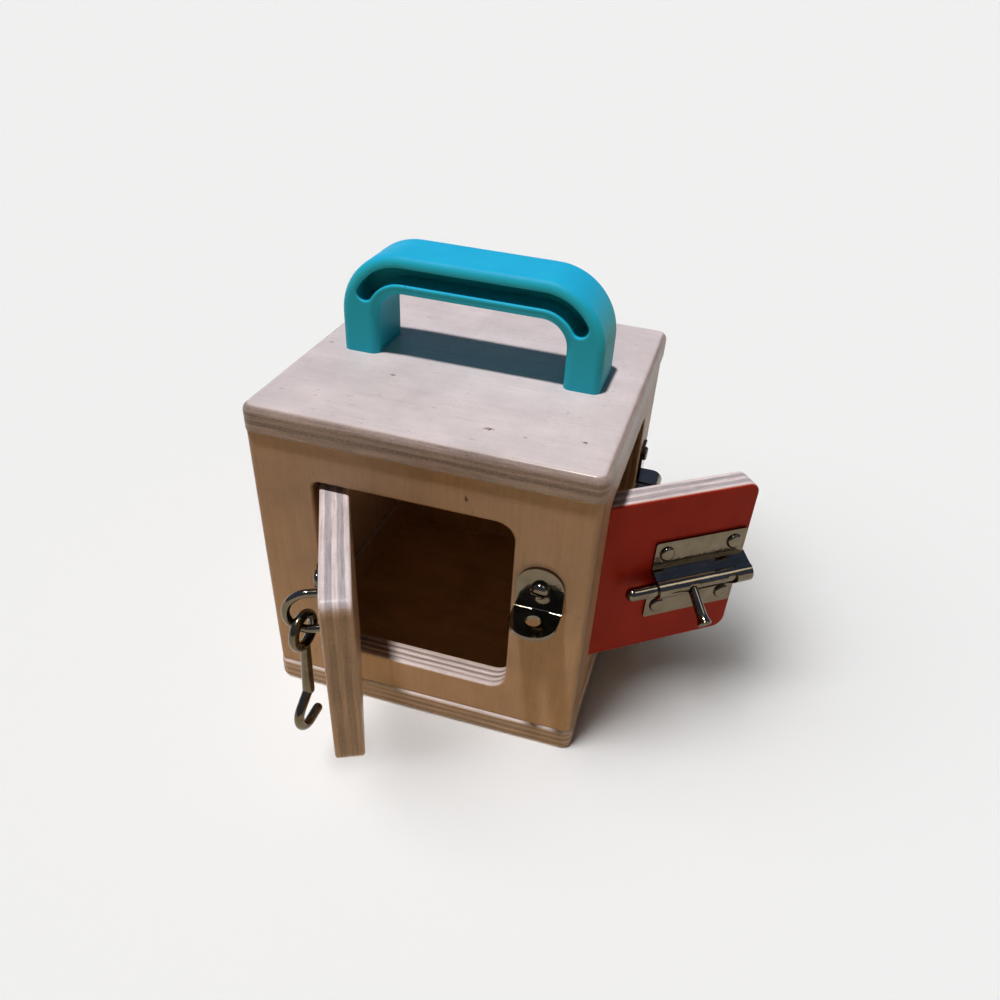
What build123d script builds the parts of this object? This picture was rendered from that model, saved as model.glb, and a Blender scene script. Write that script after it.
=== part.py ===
from build123d import *
import math
import os

os.makedirs("parts", exist_ok=True)

# Driving sizes, in millimetres: the plywood box
panel_width = 150.0
ply = 12.0
wall_height = 127.0
body_inset = 1.0
panel_corner = 5.0
top_round = 3.6
base_under_round = 2.5
top_under_round = 0.9
base_shoulder_round = 2.4
wall_corner_round = 2.5

# Doorways: the same opening in each wall, seen from outside, left by two stiles and two rails
hinge_stile = 27.75
latch_stile = 32.75
rail = 17.75
opening_corner = 8.5
opening_hinge_corner = 3.2
opening_round = 1.2

# Doors: each turns on hidden pins at its left edge, seen from outside
hinge_gap = 0.8
door_gap = 3.2
door_corner = 6.0
door_round = 1.2
front_open_angle = 63.6
right_open_angle = 52.7
pin_radius = 2.0
pin_in_door = 9.0
washer_radius = 3.4

# Clearances and the overrun of cuts
fit = 0.05
seat_gap = 0.3
overrun = 1.0
quarter_turn = 90.0

# Carry handle: moulded bow with a grip recess in both long faces, its edges rounded by shares of the lip
handle_length = 117.5
handle_height = 44.5
handle_depth = 29.0
handle_back = 4.0
handle_left = 1.3
handle_band = 16.5
handle_bend = 28.0
handle_lip = 4.75
handle_round_share = 0.75
recess_round_share = 0.2
recess_depth = 12.0
recess_sweep_angle = 58.0
handle_screw_radius = 2.0
handle_screw_depth = 16.0
handle_head_radius = 4.2
handle_head = 2.6

# Round-head wood screws of the small hardware
screw_radius = 1.6
screw_depth = 9.0
screw_head_radius = 3.6
screw_head = 1.5
screw_dome_share = 0.85

# Hook catch: angle bracket with round ends
catch_width = 20.5
catch_leg = 21.0
catch_tab = 19.5
catch_sheet = 1.8
catch_bend = 2.4
catch_inner_bend = 0.7
catch_hole_radius = 3.3
catch_drop = 2.1
catch_from_opening = 12.45
catch_head_radius = 4.0
catch_head = 3.4

# Staple on the front door
staple_inset = 35.5
staple_rise = 10.0
staple_wire_radius = 1.75
staple_bend = 9.35
staple_reach = 15.45
staple_plate_length = 44.0
staple_plate_width = 16.0
staple_plate_sheet = 1.5
staple_screw_spread = 16.4

# Cabin hook: its sizes run from the middle of the eye, down, and in or out along the hook's plane
hook_bar_radius = 2.1
hook_kink_radius = 2.6
hook_eye_radius = 7.1
hook_turned = 60.0
hook_hang = 1.2
hook_seat_out = 9.5
hook_kink_drop = 32.2
hook_kink_out = 2.0
hook_knee_drop = 54.8
hook_knee_out = 29.0
hook_tip_drop = 48.8
hook_tip_in = 2.6
hook_knee_bend = 6.8

# Slide bolt on the right door
bolt_plate_inset = 2.0
bolt_plate_length = 47.5
bolt_plate_height = 42.8
bolt_drop = 2.0
bolt_out = 7.0
bolt_sheet = 1.3
bolt_plate_corner = 1.2
bolt_rod_radius = 3.2
bolt_barrel_over = 1.8
bolt_shoulder = 7.4
bolt_hinge_room = 12.9
bolt_travel = 20.0
bolt_screw_spread = 35.2
bolt_screw_rise = 30.0
bolt_head_radius = 3.7
bolt_head = 1.5
knob_from_plate = 18.2
knob_drop_angle = 34.0
knob_reach = 20.7
knob_neck_radius = 2.3
knob_waist_radius = 2.5
knob_end_radius = 3.7
knob_flare = 5.5
knob_end_round = 0.8
knob_spigot_radius = 1.5
knob_slack = 0.6
notch_angle = 38.0

# Bolt keeper: bowed strap on the right wall
keeper_from_opening = 12.75
keeper_width = 14.0
keeper_sheet = 1.5
keeper_bow_radius = 4.0
keeper_length = 48.0
keeper_corner = 3.0
keeper_screw_spread = 37.0

# Turn button on the left wall
button_from_opening = 7.25
button_length = 36.0
button_width = 12.0
button_sheet = 3.0
button_washer = 1.0
button_washer_radius = 4.5
button_screw_radius = 2.2
button_edge_round = 0.8

# Turning hasp on the back door
hasp_plate_length = 25.0
hasp_plate_height = 28.0
hasp_sheet = 1.5
hasp_knuckle_radius = 2.75
hasp_pin_radius = 1.2
hasp_inset = 2.2
hasp_strap_length = 33.0
hasp_strap_height = 20.0
hasp_knuckle_height = 11.0
hasp_slot_length = 17.0
hasp_slot_height = 9.0
hasp_slot_along = 19.5
hasp_screw_rise = 18.0
hasp_screw_inset = 12.0
hasp_corner = 3.0
knob_plate_height = 40.0
knob_plate_width = 15.0
knob_plate_sheet = 1.2
turn_neck_radius = 2.6
turn_head_length = 12.0
turn_head_width = 6.0
turn_head_height = 4.0
turn_head_round = 1.2
turn_head_lift = 0.6
turn_screw_rise = 29.0

# Places that follow from the sizes above
body_half = panel_width / 2 - body_inset
wall_inside = body_half - ply
base_top = ply
wall_top = base_top + wall_height
box_height = wall_top + ply
mid_height = base_top + wall_height / 2
opening_width = 2 * body_half - hinge_stile - latch_stile
opening_height = wall_height - 2 * rail
opening_right = body_half - latch_stile
opening_x = opening_right - opening_width / 2
sill = base_top + rail
pivot_x = opening_right - opening_width + hinge_gap + ply / 2
pivot_out = body_half - ply / 2
door_reach = opening_right - door_gap - pivot_x
door_bottom = sill + door_gap
door_height = opening_height - 2 * door_gap
door_top = door_bottom + door_height
face = ply / 2
catch_side = opening_right + catch_from_opening
keeper_side = opening_right + keeper_from_opening
button_side = opening_right + button_from_opening
staple_along = door_reach - staple_inset
staple_height = mid_height + staple_rise
catch_tab_top = staple_height - catch_drop
bolt_plate_start = door_reach - bolt_plate_inset - bolt_plate_length
bolt_height = mid_height - bolt_drop
knob_along = bolt_plate_start + knob_from_plate
hasp_axis_along = door_reach - hasp_inset


def wall_plane(turn):
    """Upright plane through the box's axis: x runs right along a wall, y up, z out of the wall."""
    angle = math.radians(quarter_turn * turn)
    x_dir = (math.cos(angle), math.sin(angle), 0)
    z_dir = (math.sin(angle), -math.cos(angle), 0)
    return Plane((0, 0, 0), x_dir=x_dir, z_dir=z_dir)


def door_plane(turn, opened):
    """Plane of a door's middle layer: x runs from the pivot to the free edge, y up, z outward."""
    wall = wall_plane(turn)
    pivot = wall.from_local_coords(Vector(pivot_x, 0, pivot_out))
    x_dir = wall.x_dir.rotate(Axis.Z, -opened)
    z_dir = wall.z_dir.rotate(Axis.Z, -opened)
    return Plane(pivot, x_dir=x_dir, z_dir=z_dir)


def upright(plane):
    """The direction out of an upright plane, as an axis to select by."""
    return Axis(plane.origin, plane.z_dir)


def pair(along, middle, spread):
    """Two spots one above the other."""
    return [(along, middle - spread / 2), (along, middle + spread / 2)]


def keep(piece, name):
    """Labels a finished piece and writes it as one node."""
    piece.label = name
    export_step(piece, f"parts/{name}.step")


def screws(plane, spots, head_radius, head, shank_radius, depth):
    """A group of round-head screws seated on a plane."""
    with BuildPart() as group:
        with BuildSketch(plane):
            with Locations(*spots):
                Circle(head_radius)
        extrude(amount=head)
        fillet(edges().group_by(upright(plane))[-1], head * screw_dome_share)
        with BuildSketch(plane):
            with Locations(*spots):
                Circle(shank_radius)
        extrude(amount=-depth)
    return group.part


# Spots of the screws, in the plane of the wall or door that carries them
catch_screw_spots = [(catch_side, catch_tab_top + catch_leg - catch_width / 2)]
staple_spots = pair(staple_along, staple_height, 2 * staple_screw_spread)
bolt_middle = bolt_plate_start + bolt_plate_length / 2
bolt_spots = pair(bolt_middle - bolt_screw_spread / 2, bolt_height, bolt_screw_rise)
bolt_spots += pair(bolt_middle + bolt_screw_spread / 2, bolt_height, bolt_screw_rise)
keeper_spots = pair(keeper_side, bolt_height, keeper_screw_spread)
button_spots = [(button_side, mid_height)]
hasp_plate_end = hasp_axis_along - hasp_knuckle_radius
hasp_screw_along = hasp_plate_end - hasp_screw_inset
hasp_spots = pair(hasp_screw_along, mid_height, hasp_screw_rise)
turn_side = pivot_x + hasp_axis_along + hasp_slot_along
turn_spots = pair(turn_side, mid_height, turn_screw_rise)


# Base and top panels
def flat_panel(bottom, lower_round, upper_round):
    with BuildPart() as panel:
        with BuildSketch(Plane.XY.offset(bottom)):
            RectangleRounded(panel_width, panel_width, panel_corner)
        extrude(amount=ply)
        fillet(faces().sort_by(Axis.Z)[0].edges(), lower_round)
        fillet(faces().sort_by(Axis.Z)[-1].edges(), upper_round)
    return panel


base_panel = flat_panel(0, base_under_round, base_shoulder_round)
keep(base_panel.part, "base_panel")

handle_foot = (handle_length - handle_band) / 2
handle_spots = [(-handle_foot - handle_left, handle_back), (handle_foot - handle_left, handle_back)]
with BuildPart() as top_panel:
    add(flat_panel(wall_top, top_under_round, top_round).part)
    with BuildSketch(Plane.XY.offset(wall_top)):
        with Locations(*handle_spots):
            Circle(handle_screw_radius + fit)
    extrude(amount=ply, mode=Mode.SUBTRACT)
    with BuildSketch(Plane.XY.offset(wall_top)):
        with Locations(*handle_spots):
            Circle(handle_head_radius + fit)
    extrude(amount=handle_head, mode=Mode.SUBTRACT)
keep(top_panel.part, "top_panel")


# Side walls with their doorways, pin holes and pilot holes
def wall_panel(turn, width, spots, pilot_radius):
    wall = wall_plane(turn)
    pivot = wall.from_local_coords(Vector(pivot_x, 0, pivot_out))
    with BuildPart() as panel:
        with BuildSketch(wall.offset(wall_inside)):
            with Locations((0, mid_height)):
                Rectangle(width, wall_height)
            with BuildSketch(mode=Mode.PRIVATE) as doorway:
                with Locations((opening_x, mid_height)):
                    Rectangle(opening_width, opening_height)
                fillet(doorway.vertices().group_by(Axis.X)[-1], opening_corner)
                fillet(doorway.vertices().group_by(Axis.X)[0], opening_hinge_corner)
            add(doorway.sketch_local, mode=Mode.SUBTRACT)
        extrude(amount=ply)
        outer = faces().filter_by(upright(wall)).sort_by(upright(wall))[-1]
        fillet(outer.inner_wires()[0].edges(), opening_round)
        if width > 2 * wall_inside:
            outer = faces().filter_by(upright(wall)).sort_by(upright(wall))[-1]
            fillet(outer.outer_wire().edges().filter_by(Axis.Z), wall_corner_round)
        with BuildSketch(Plane.XY.offset(base_top)):
            with Locations((pivot.X, pivot.Y)):
                Circle(pin_radius + fit)
        extrude(amount=wall_height, mode=Mode.SUBTRACT)
        with BuildSketch(wall.offset(body_half)):
            with Locations(*spots):
                Circle(pilot_radius)
        extrude(amount=-screw_depth, mode=Mode.SUBTRACT)
    return panel


pilot = screw_radius + fit
front_panel = wall_panel(0, 2 * body_half, catch_screw_spots, pilot)
keep(front_panel.part, "front_panel")
right_panel = wall_panel(1, 2 * wall_inside, keeper_spots, pilot)
keep(right_panel.part, "right_panel")
back_panel = wall_panel(2, 2 * body_half, turn_spots, pilot)
keep(back_panel.part, "back_panel")
left_panel = wall_panel(3, 2 * wall_inside, button_spots, button_screw_radius + fit)
keep(left_panel.part, "left_panel")


# Doors: round-nosed hinge edge on the pivot, round corners at the free edge
def door_panel(turn, opened, spots):
    middle = door_plane(turn, opened)
    plan = Plane(middle.origin + Vector(0, 0, door_bottom), x_dir=middle.x_dir, z_dir=(0, 0, 1))
    with BuildPart() as door:
        with BuildSketch(plan):
            Rectangle(door_reach, ply, align=(Align.MIN, Align.CENTER))
            Circle(ply / 2)
        extrude(amount=door_height)
        fillet(edges().filter_by(upright(middle)), door_corner)
        smooth = edges().filter_by(upright(middle))
        nose = edges().filter_by(Axis.Z).sort_by(Axis(middle.origin, middle.x_dir))[:2]
        fillet(edges() - smooth - nose, door_round)
        with BuildSketch(plan):
            Circle(pin_radius + fit)
        extrude(amount=pin_in_door + seat_gap, mode=Mode.SUBTRACT)
        with BuildSketch(plan.offset(door_height)):
            Circle(pin_radius + fit)
        extrude(amount=-(pin_in_door + seat_gap), mode=Mode.SUBTRACT)
        if spots:
            with BuildSketch(middle.offset(face)):
                with Locations(*spots):
                    Circle(pilot)
            extrude(amount=-screw_depth, mode=Mode.SUBTRACT)
    return door


doors = {
    "front": (0, front_open_angle, staple_spots),
    "right": (1, right_open_angle, bolt_spots),
    "back": (2, 0, hasp_spots),
    "left": (3, 0, []),
}
for side, (turn, opened, spots) in doors.items():
    keep(door_panel(turn, opened, spots).part, f"{side}_door")
    pivot = door_plane(turn, opened).origin
    with BuildPart() as pins:
        with BuildSketch(Plane.XY.offset(base_top)):
            with Locations((pivot.X, pivot.Y)):
                Circle(pin_radius)
        extrude(amount=door_bottom + pin_in_door - base_top)
        with BuildSketch(Plane.XY.offset(wall_top)):
            with Locations((pivot.X, pivot.Y)):
                Circle(pin_radius)
        extrude(amount=-(wall_top - door_top + pin_in_door))
    keep(pins.part, f"{side}_door_pins")

# Plain washers under the doors, on the lower pins
with BuildPart() as pivot_washers:
    with BuildSketch(Plane.XY.offset(sill)):
        for turn in range(len(doors)):
            pivot = door_plane(turn, 0).origin
            with Locations((pivot.X, pivot.Y)):
                Circle(washer_radius)
                Circle(pin_radius + fit, mode=Mode.SUBTRACT)
    extrude(amount=door_gap - seat_gap)
keep(pivot_washers.part, "pivot_washers")

# Carry handle, a flat bow with a curved recess in each long face
handle_face = wall_plane(0).offset(handle_depth / 2 - handle_back)
handle_tail = handle_face.offset(-handle_depth)
bend_left = -handle_length / 2 + handle_bend - handle_left
bend_right = handle_length / 2 - handle_bend - handle_left
bend_z = box_height + handle_height - handle_bend
handle_round = handle_lip * handle_round_share
recess_round = handle_lip * recess_round_share
recess_width = handle_band - 2 * handle_lip
recess_bend = handle_bend - handle_band / 2
with BuildPart() as carry_handle:
    with BuildSketch(handle_face):
        with Locations((-handle_left, box_height)):
            Rectangle(handle_length, handle_height, align=(Align.CENTER, Align.MIN))
        fillet(vertices().group_by(Axis.Y)[-1], handle_bend)
        with BuildSketch(mode=Mode.PRIVATE) as grip:
            with Locations((-handle_left, box_height)):
                Rectangle(
                    handle_length - 2 * handle_band,
                    handle_height - handle_band,
                    align=(Align.CENTER, Align.MIN),
                )
            fillet(grip.vertices().group_by(Axis.Y)[-1], handle_bend - handle_band)
        add(grip.sketch_local, mode=Mode.SUBTRACT)
    extrude(amount=-handle_depth)
    long_faces = faces().filter_by(upright(handle_face))
    fillet(long_faces.edges().filter_by(lambda e: e.center().Z > box_height + fit), handle_round)
    for plane, way in ((handle_face, -1), (handle_tail, 1)):
        with BuildSketch(plane):
            with BuildLine() as course:
                left = CenterArc(
                    (bend_left, bend_z), recess_bend, quarter_turn + recess_sweep_angle, -recess_sweep_angle
                )
                right = CenterArc((bend_right, bend_z), recess_bend, quarter_turn, -recess_sweep_angle)
                Line(left @ 1, right @ 0)
            SlotArc(course.wire(), recess_width)
        extrude(amount=way * recess_depth, mode=Mode.SUBTRACT)
        grip_face = faces().filter_by(upright(plane)).sort_by(upright(plane), reverse=way > 0)[-1]
        fillet(grip_face.inner_wires()[0].edges(), recess_round)
    with BuildSketch(Plane.XY.offset(box_height)):
        with Locations(*handle_spots):
            Circle(handle_screw_radius + fit)
    extrude(amount=handle_screw_depth + seat_gap, mode=Mode.SUBTRACT)
keep(carry_handle.part, "carry_handle")

# Handle screws, their heads let into the top panel from below
handle_under = Plane((0, 0, wall_top + handle_head), x_dir=(1, 0, 0), z_dir=(0, 0, -1))
under_spots = [(x, -y) for x, y in handle_spots]
handle_screws = screws(
    handle_under,
    under_spots,
    handle_head_radius,
    handle_head,
    handle_screw_radius,
    ply - handle_head + handle_screw_depth,
)
keep(handle_screws, "handle_screws")

# Hook catch on the front wall's right stile
front_wall = wall_plane(0)
catch_bottom = catch_tab_top - catch_sheet
with BuildPart() as hook_catch:
    with BuildSketch(front_wall.offset(body_half)):
        with Locations((catch_side, catch_bottom)):
            Rectangle(catch_width, catch_leg + catch_sheet, align=(Align.CENTER, Align.MIN))
        fillet(vertices().group_by(Axis.Y)[-1], catch_width / 2 - fit)
    extrude(amount=catch_sheet)
    with BuildSketch(Plane((catch_side, -body_half, catch_bottom), x_dir=(1, 0, 0), z_dir=(0, 0, 1))):
        Rectangle(catch_width, catch_tab, align=(Align.CENTER, Align.MAX))
        fillet(vertices().group_by(Axis.Y)[0], catch_width / 2 - fit)
    extrude(amount=catch_sheet)
    back_edge = edges().filter_by(Axis.X).group_by(Axis.Z)[0].sort_by(Axis.Y)[-1]
    fillet(back_edge, catch_bend)
    inner_corner = (catch_side, -(body_half + catch_sheet), catch_tab_top)
    fillet(edges().filter_by(Axis.X).sort_by_distance(inner_corner)[0], catch_inner_bend)
    with BuildSketch(Plane.XY.offset(catch_bottom)):
        with Locations((catch_side, -(body_half + catch_tab - catch_width / 2))):
            Circle(catch_hole_radius)
    extrude(amount=catch_sheet, mode=Mode.SUBTRACT)
    with BuildSketch(front_wall.offset(body_half)):
        with Locations(*catch_screw_spots):
            Circle(pilot)
    extrude(amount=catch_sheet, mode=Mode.SUBTRACT)
keep(hook_catch.part, "hook_catch")
catch_screw = screws(
    front_wall.offset(body_half + catch_sheet),
    catch_screw_spots,
    catch_head_radius,
    catch_head,
    screw_radius,
    screw_depth + catch_sheet,
)
keep(catch_screw, "hook_catch_screw")

# Staple plate, staple and screws on the front door
front_leaf = door_plane(0, front_open_angle)
front_skin = front_leaf.offset(face)
with BuildPart() as staple_plate:
    with BuildSketch(front_skin):
        with Locations((staple_along, staple_height)):
            SlotOverall(staple_plate_length, staple_plate_width, rotation=quarter_turn)
        with Locations(*staple_spots):
            Circle(pilot, mode=Mode.SUBTRACT)
        with Locations(*pair(staple_along, staple_height, 2 * staple_bend)):
            Circle(staple_wire_radius + fit, mode=Mode.SUBTRACT)
    extrude(amount=staple_plate_sheet)
keep(staple_plate.part, "staple_plate")

staple_origin = front_skin.from_local_coords(Vector(staple_along, staple_height, 0))
staple_side = Plane(staple_origin, x_dir=front_leaf.z_dir, z_dir=-front_leaf.x_dir)
staple_straight = staple_reach - staple_bend
with BuildPart() as hook_staple:
    with BuildLine(staple_side) as loop:
        Line((0, staple_bend), (staple_straight, staple_bend))
        ThreePointArc((staple_straight, staple_bend), (staple_reach, 0), (staple_straight, -staple_bend))
        Line((staple_straight, -staple_bend), (0, -staple_bend))
    with BuildSketch(Plane(loop.line @ 0, z_dir=loop.line % 0)):
        Circle(staple_wire_radius)
    sweep(path=loop.line)
keep(hook_staple.part, "hook_staple")
staple_screws = screws(
    front_skin.offset(staple_plate_sheet),
    staple_spots,
    screw_head_radius,
    screw_head,
    screw_radius,
    screw_depth + staple_plate_sheet,
)
keep(staple_screws, "staple_screws")

# Cabin hook, hanging by its eye from the staple's lower bend
seat_lean = math.acos((hook_seat_out - staple_straight) / staple_bend)
hook_seat = staple_side.from_local_coords(Vector(hook_seat_out, -staple_bend * math.sin(seat_lean), 0))
hook_middle = hook_seat - Vector(0, 0, hook_hang)
hook_out = front_leaf.z_dir.rotate(Axis.Z, hook_turned)
hook_plane = Plane(hook_middle, x_dir=hook_out, z_dir=hook_out.cross(Vector(0, 0, 1)))
with BuildPart(hook_plane) as cabin_hook:
    Torus(hook_eye_radius, hook_bar_radius)
    with BuildLine(hook_plane) as shank:
        Line((0, -hook_eye_radius), (hook_kink_out, -hook_kink_drop))
    with BuildSketch(Plane(shank.line @ 0, z_dir=shank.line % 0)):
        Circle(hook_bar_radius)
    with BuildSketch(Plane(shank.line @ 1, z_dir=shank.line % 1)):
        Circle(hook_kink_radius)
    loft()
    with BuildLine(hook_plane) as bow:
        FilletPolyline(
            (hook_kink_out, -hook_kink_drop),
            (hook_knee_out, -hook_knee_drop),
            (-hook_tip_in, -hook_tip_drop),
            radius=hook_knee_bend,
        )
    with BuildSketch(Plane(bow.line @ 0, z_dir=bow.line % 0)):
        Circle(hook_bar_radius)
    sweep(path=bow.line)
    with Locations((hook_kink_out, -hook_kink_drop)):
        Sphere(hook_kink_radius)
    with Locations((-hook_tip_in, -hook_tip_drop)):
        Sphere(hook_bar_radius)
keep(cabin_hook.part, "cabin_hook")

# Slide bolt: pressed plate with a barrel, and its screws
right_leaf = door_plane(1, right_open_angle)
right_skin = right_leaf.offset(face)
barrel_bore = bolt_rod_radius + fit
barrel_radius = barrel_bore + bolt_sheet
barrel_end = bolt_plate_start + bolt_plate_length + bolt_barrel_over


def bolt_section(along):
    """Cross plane of the bolt: x out of the door, y up, with its middle on the rod's axis."""
    origin = right_skin.from_local_coords(Vector(along, bolt_height, bolt_out))
    return Plane(origin, x_dir=right_leaf.z_dir, z_dir=-right_leaf.x_dir)


def knob_plane(along, rise):
    """Plane across the knob at a place along the rod, turned up by an angle from the knob's own."""
    origin = right_skin.from_local_coords(Vector(along, bolt_height, bolt_out))
    lean = Axis(origin, right_leaf.x_dir)
    way = right_leaf.z_dir.rotate(lean, knob_drop_angle - rise)
    return Plane(origin, x_dir=right_leaf.x_dir, z_dir=way)


slot_width = 2 * (knob_waist_radius + knob_slack)
slot_length = bolt_travel + slot_width
slot_middle = knob_along + bolt_travel / 2
with BuildPart() as bolt_plate:
    with BuildSketch(right_skin):
        with Locations((bolt_middle, bolt_height)):
            RectangleRounded(bolt_plate_length, bolt_plate_height, bolt_plate_corner)
        with Locations(*bolt_spots):
            Circle(pilot, mode=Mode.SUBTRACT)
    extrude(amount=bolt_sheet)
    with BuildSketch(bolt_section(bolt_plate_start)):
        Polygon(
            (-bolt_out, -bolt_shoulder),
            (0, -barrel_radius),
            (0, barrel_radius),
            (-bolt_out, bolt_shoulder),
            align=None,
        )
        Circle(barrel_radius)
    extrude(amount=-(barrel_end - bolt_plate_start))
    with BuildSketch(bolt_section(bolt_plate_start - overrun)):
        Polygon(
            (-bolt_out - overrun, -bolt_shoulder + bolt_sheet),
            (-bolt_out, -bolt_shoulder + bolt_sheet),
            (0, -barrel_bore),
            (0, barrel_bore),
            (-bolt_out, bolt_shoulder - bolt_sheet),
            (-bolt_out - overrun, bolt_shoulder - bolt_sheet),
            align=None,
        )
        Circle(barrel_bore)
    extrude(amount=-(barrel_end - bolt_plate_start + 2 * overrun), mode=Mode.SUBTRACT)
    with BuildSketch(knob_plane(slot_middle, 0)):
        SlotOverall(slot_length, slot_width)
    extrude(amount=barrel_radius + overrun, mode=Mode.SUBTRACT)
    for along in (knob_along, knob_along + bolt_travel):
        for rise in (notch_angle / 2, notch_angle):
            with BuildSketch(knob_plane(along, rise)):
                Circle(slot_width / 2)
            extrude(amount=barrel_radius + overrun, mode=Mode.SUBTRACT)
keep(bolt_plate.part, "bolt_plate")
bolt_plate_screws = screws(
    right_skin.offset(bolt_sheet),
    bolt_spots,
    bolt_head_radius,
    bolt_head,
    screw_radius,
    screw_depth + bolt_sheet,
)
keep(bolt_plate_screws, "bolt_plate_screws")

# Bolt rod with its turned knob
rod_start = bolt_hinge_room
rod_end = bolt_plate_start + bolt_plate_length
with BuildPart() as bolt_rod:
    with BuildSketch(bolt_section(rod_start)):
        Circle(bolt_rod_radius)
    extrude(amount=-(rod_end - rod_start))
    ends = edges().filter_by(GeomType.CIRCLE).sort_by(Axis(right_leaf.origin, right_leaf.x_dir))
    fillet(ends[0], bolt_rod_radius - fit)
    fillet(ends[-1], bolt_rod_radius / 2)
    with BuildSketch(knob_plane(knob_along, 0)):
        Circle(knob_spigot_radius + fit)
    extrude(amount=bolt_rod_radius + overrun, mode=Mode.SUBTRACT)
keep(bolt_rod.part, "bolt_rod")

knob_axis_plane = knob_plane(knob_along, 0)
knob_profile = Plane(knob_axis_plane.origin, x_dir=knob_axis_plane.x_dir, z_dir=-knob_axis_plane.y_dir)
with BuildPart() as bolt_knob:
    with BuildSketch(knob_profile):
        with BuildLine():
            Polyline(
                (0, 0),
                (knob_spigot_radius, 0),
                (knob_spigot_radius, bolt_rod_radius),
                (knob_neck_radius, bolt_rod_radius),
                (knob_waist_radius, knob_reach - knob_flare),
            )
            ThreePointArc(
                (knob_waist_radius, knob_reach - knob_flare),
                (knob_waist_radius + (knob_end_radius - knob_waist_radius) / 4, knob_reach - knob_flare / 2),
                (knob_end_radius, knob_reach),
            )
            Polyline((knob_end_radius, knob_reach), (0, knob_reach), (0, 0))
        make_face()
    revolve(axis=Axis(knob_axis_plane.origin, knob_axis_plane.z_dir))
    crown = edges().filter_by(GeomType.CIRCLE).sort_by(upright(knob_axis_plane))[-1]
    fillet(crown, knob_end_round)
keep(bolt_knob.part, "bolt_knob")

# Bolt keeper on the right wall's rear stile
right_wall = wall_plane(1)
keeper_origin = right_wall.from_local_coords(Vector(keeper_side - keeper_width / 2, bolt_height, body_half))
keeper_section = Plane(keeper_origin, x_dir=right_wall.z_dir, z_dir=-right_wall.x_dir)
keeper_outer = keeper_bow_radius + keeper_sheet
with BuildPart() as bolt_keeper:
    with BuildSketch(right_wall.offset(body_half)):
        with Locations((keeper_side, bolt_height)):
            RectangleRounded(keeper_width, keeper_length, keeper_corner)
        with Locations(*keeper_spots):
            Circle(pilot, mode=Mode.SUBTRACT)
    extrude(amount=keeper_sheet)
    with BuildSketch(keeper_section):
        Rectangle(bolt_out, 2 * keeper_outer, align=(Align.MIN, Align.CENTER))
        with Locations((bolt_out, 0)):
            Circle(keeper_outer)
    extrude(amount=-keeper_width)
    with BuildSketch(keeper_section):
        with Locations((-overrun, 0)):
            Rectangle(bolt_out + overrun, 2 * keeper_bow_radius, align=(Align.MIN, Align.CENTER))
        with Locations((bolt_out, 0)):
            Circle(keeper_bow_radius)
    extrude(amount=-keeper_width, mode=Mode.SUBTRACT)
keep(bolt_keeper.part, "bolt_keeper")
keeper_screws = screws(
    right_wall.offset(body_half + keeper_sheet),
    keeper_spots,
    screw_head_radius,
    screw_head,
    screw_radius,
    screw_depth + keeper_sheet,
)
keep(keeper_screws, "keeper_screws")

# Turn button on the left wall, upright so that the door is free
left_wall = wall_plane(3)
with BuildPart() as button_spacer:
    with BuildSketch(left_wall.offset(body_half)):
        with Locations(*button_spots):
            Circle(button_washer_radius)
            Circle(button_screw_radius + fit, mode=Mode.SUBTRACT)
    extrude(amount=button_washer)
keep(button_spacer.part, "button_washer")
button_back = left_wall.offset(body_half + button_washer + fit)
with BuildPart() as turn_button:
    with BuildSketch(button_back):
        with Locations(*button_spots):
            SlotOverall(button_length, button_width, rotation=quarter_turn)
            Circle(button_screw_radius + fit, mode=Mode.SUBTRACT)
    extrude(amount=button_sheet)
    rim = faces().filter_by(upright(left_wall)).sort_by(upright(left_wall))[-1].outer_wire()
    fillet(rim.edges(), button_edge_round)
keep(turn_button.part, "turn_button")
button_front = button_back.offset(button_sheet + fit)
button_screw = screws(
    button_front,
    button_spots,
    catch_head_radius,
    catch_head,
    button_screw_radius,
    screw_depth + button_washer + button_sheet + 2 * fit,
)
keep(button_screw, "turn_button_screw")

# Hasp on the back door: plate with two knuckles, strap with one, and the pin through them
back_leaf = door_plane(2, 0)
back_skin = back_leaf.offset(face)


def pin_plane(bottom):
    """Level plane round the hasp's pin at a height."""
    origin = back_skin.from_local_coords(Vector(hasp_axis_along, bottom, hasp_knuckle_radius))
    return Plane(origin, x_dir=back_leaf.x_dir, z_dir=(0, 0, 1))


hasp_bottom = mid_height - hasp_plate_height / 2
strap_bottom = mid_height - hasp_knuckle_height / 2
knuckle_end = (hasp_plate_height - hasp_knuckle_height) / 2 - seat_gap
with BuildPart() as hasp_plate:
    with BuildSketch(back_skin):
        with Locations((hasp_axis_along - hasp_plate_length, mid_height)):
            Rectangle(hasp_plate_length, hasp_plate_height, align=(Align.MIN, Align.CENTER))
        fillet(vertices().group_by(Axis.X)[0], hasp_corner)
        with Locations(*hasp_spots):
            Circle(pilot, mode=Mode.SUBTRACT)
        with Locations((hasp_axis_along + overrun, mid_height)):
            Rectangle(
                hasp_knuckle_radius + seat_gap + overrun,
                hasp_knuckle_height + 2 * seat_gap,
                align=(Align.MAX, Align.CENTER),
                mode=Mode.SUBTRACT,
            )
    extrude(amount=hasp_sheet)
    for bottom in (hasp_bottom, mid_height + hasp_knuckle_height / 2 + seat_gap):
        with BuildSketch(pin_plane(bottom)):
            Circle(hasp_knuckle_radius)
        extrude(amount=knuckle_end)
    with BuildSketch(pin_plane(hasp_bottom)):
        Circle(hasp_pin_radius + fit)
    extrude(amount=hasp_plate_height, mode=Mode.SUBTRACT)
keep(hasp_plate.part, "hasp_plate")

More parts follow.
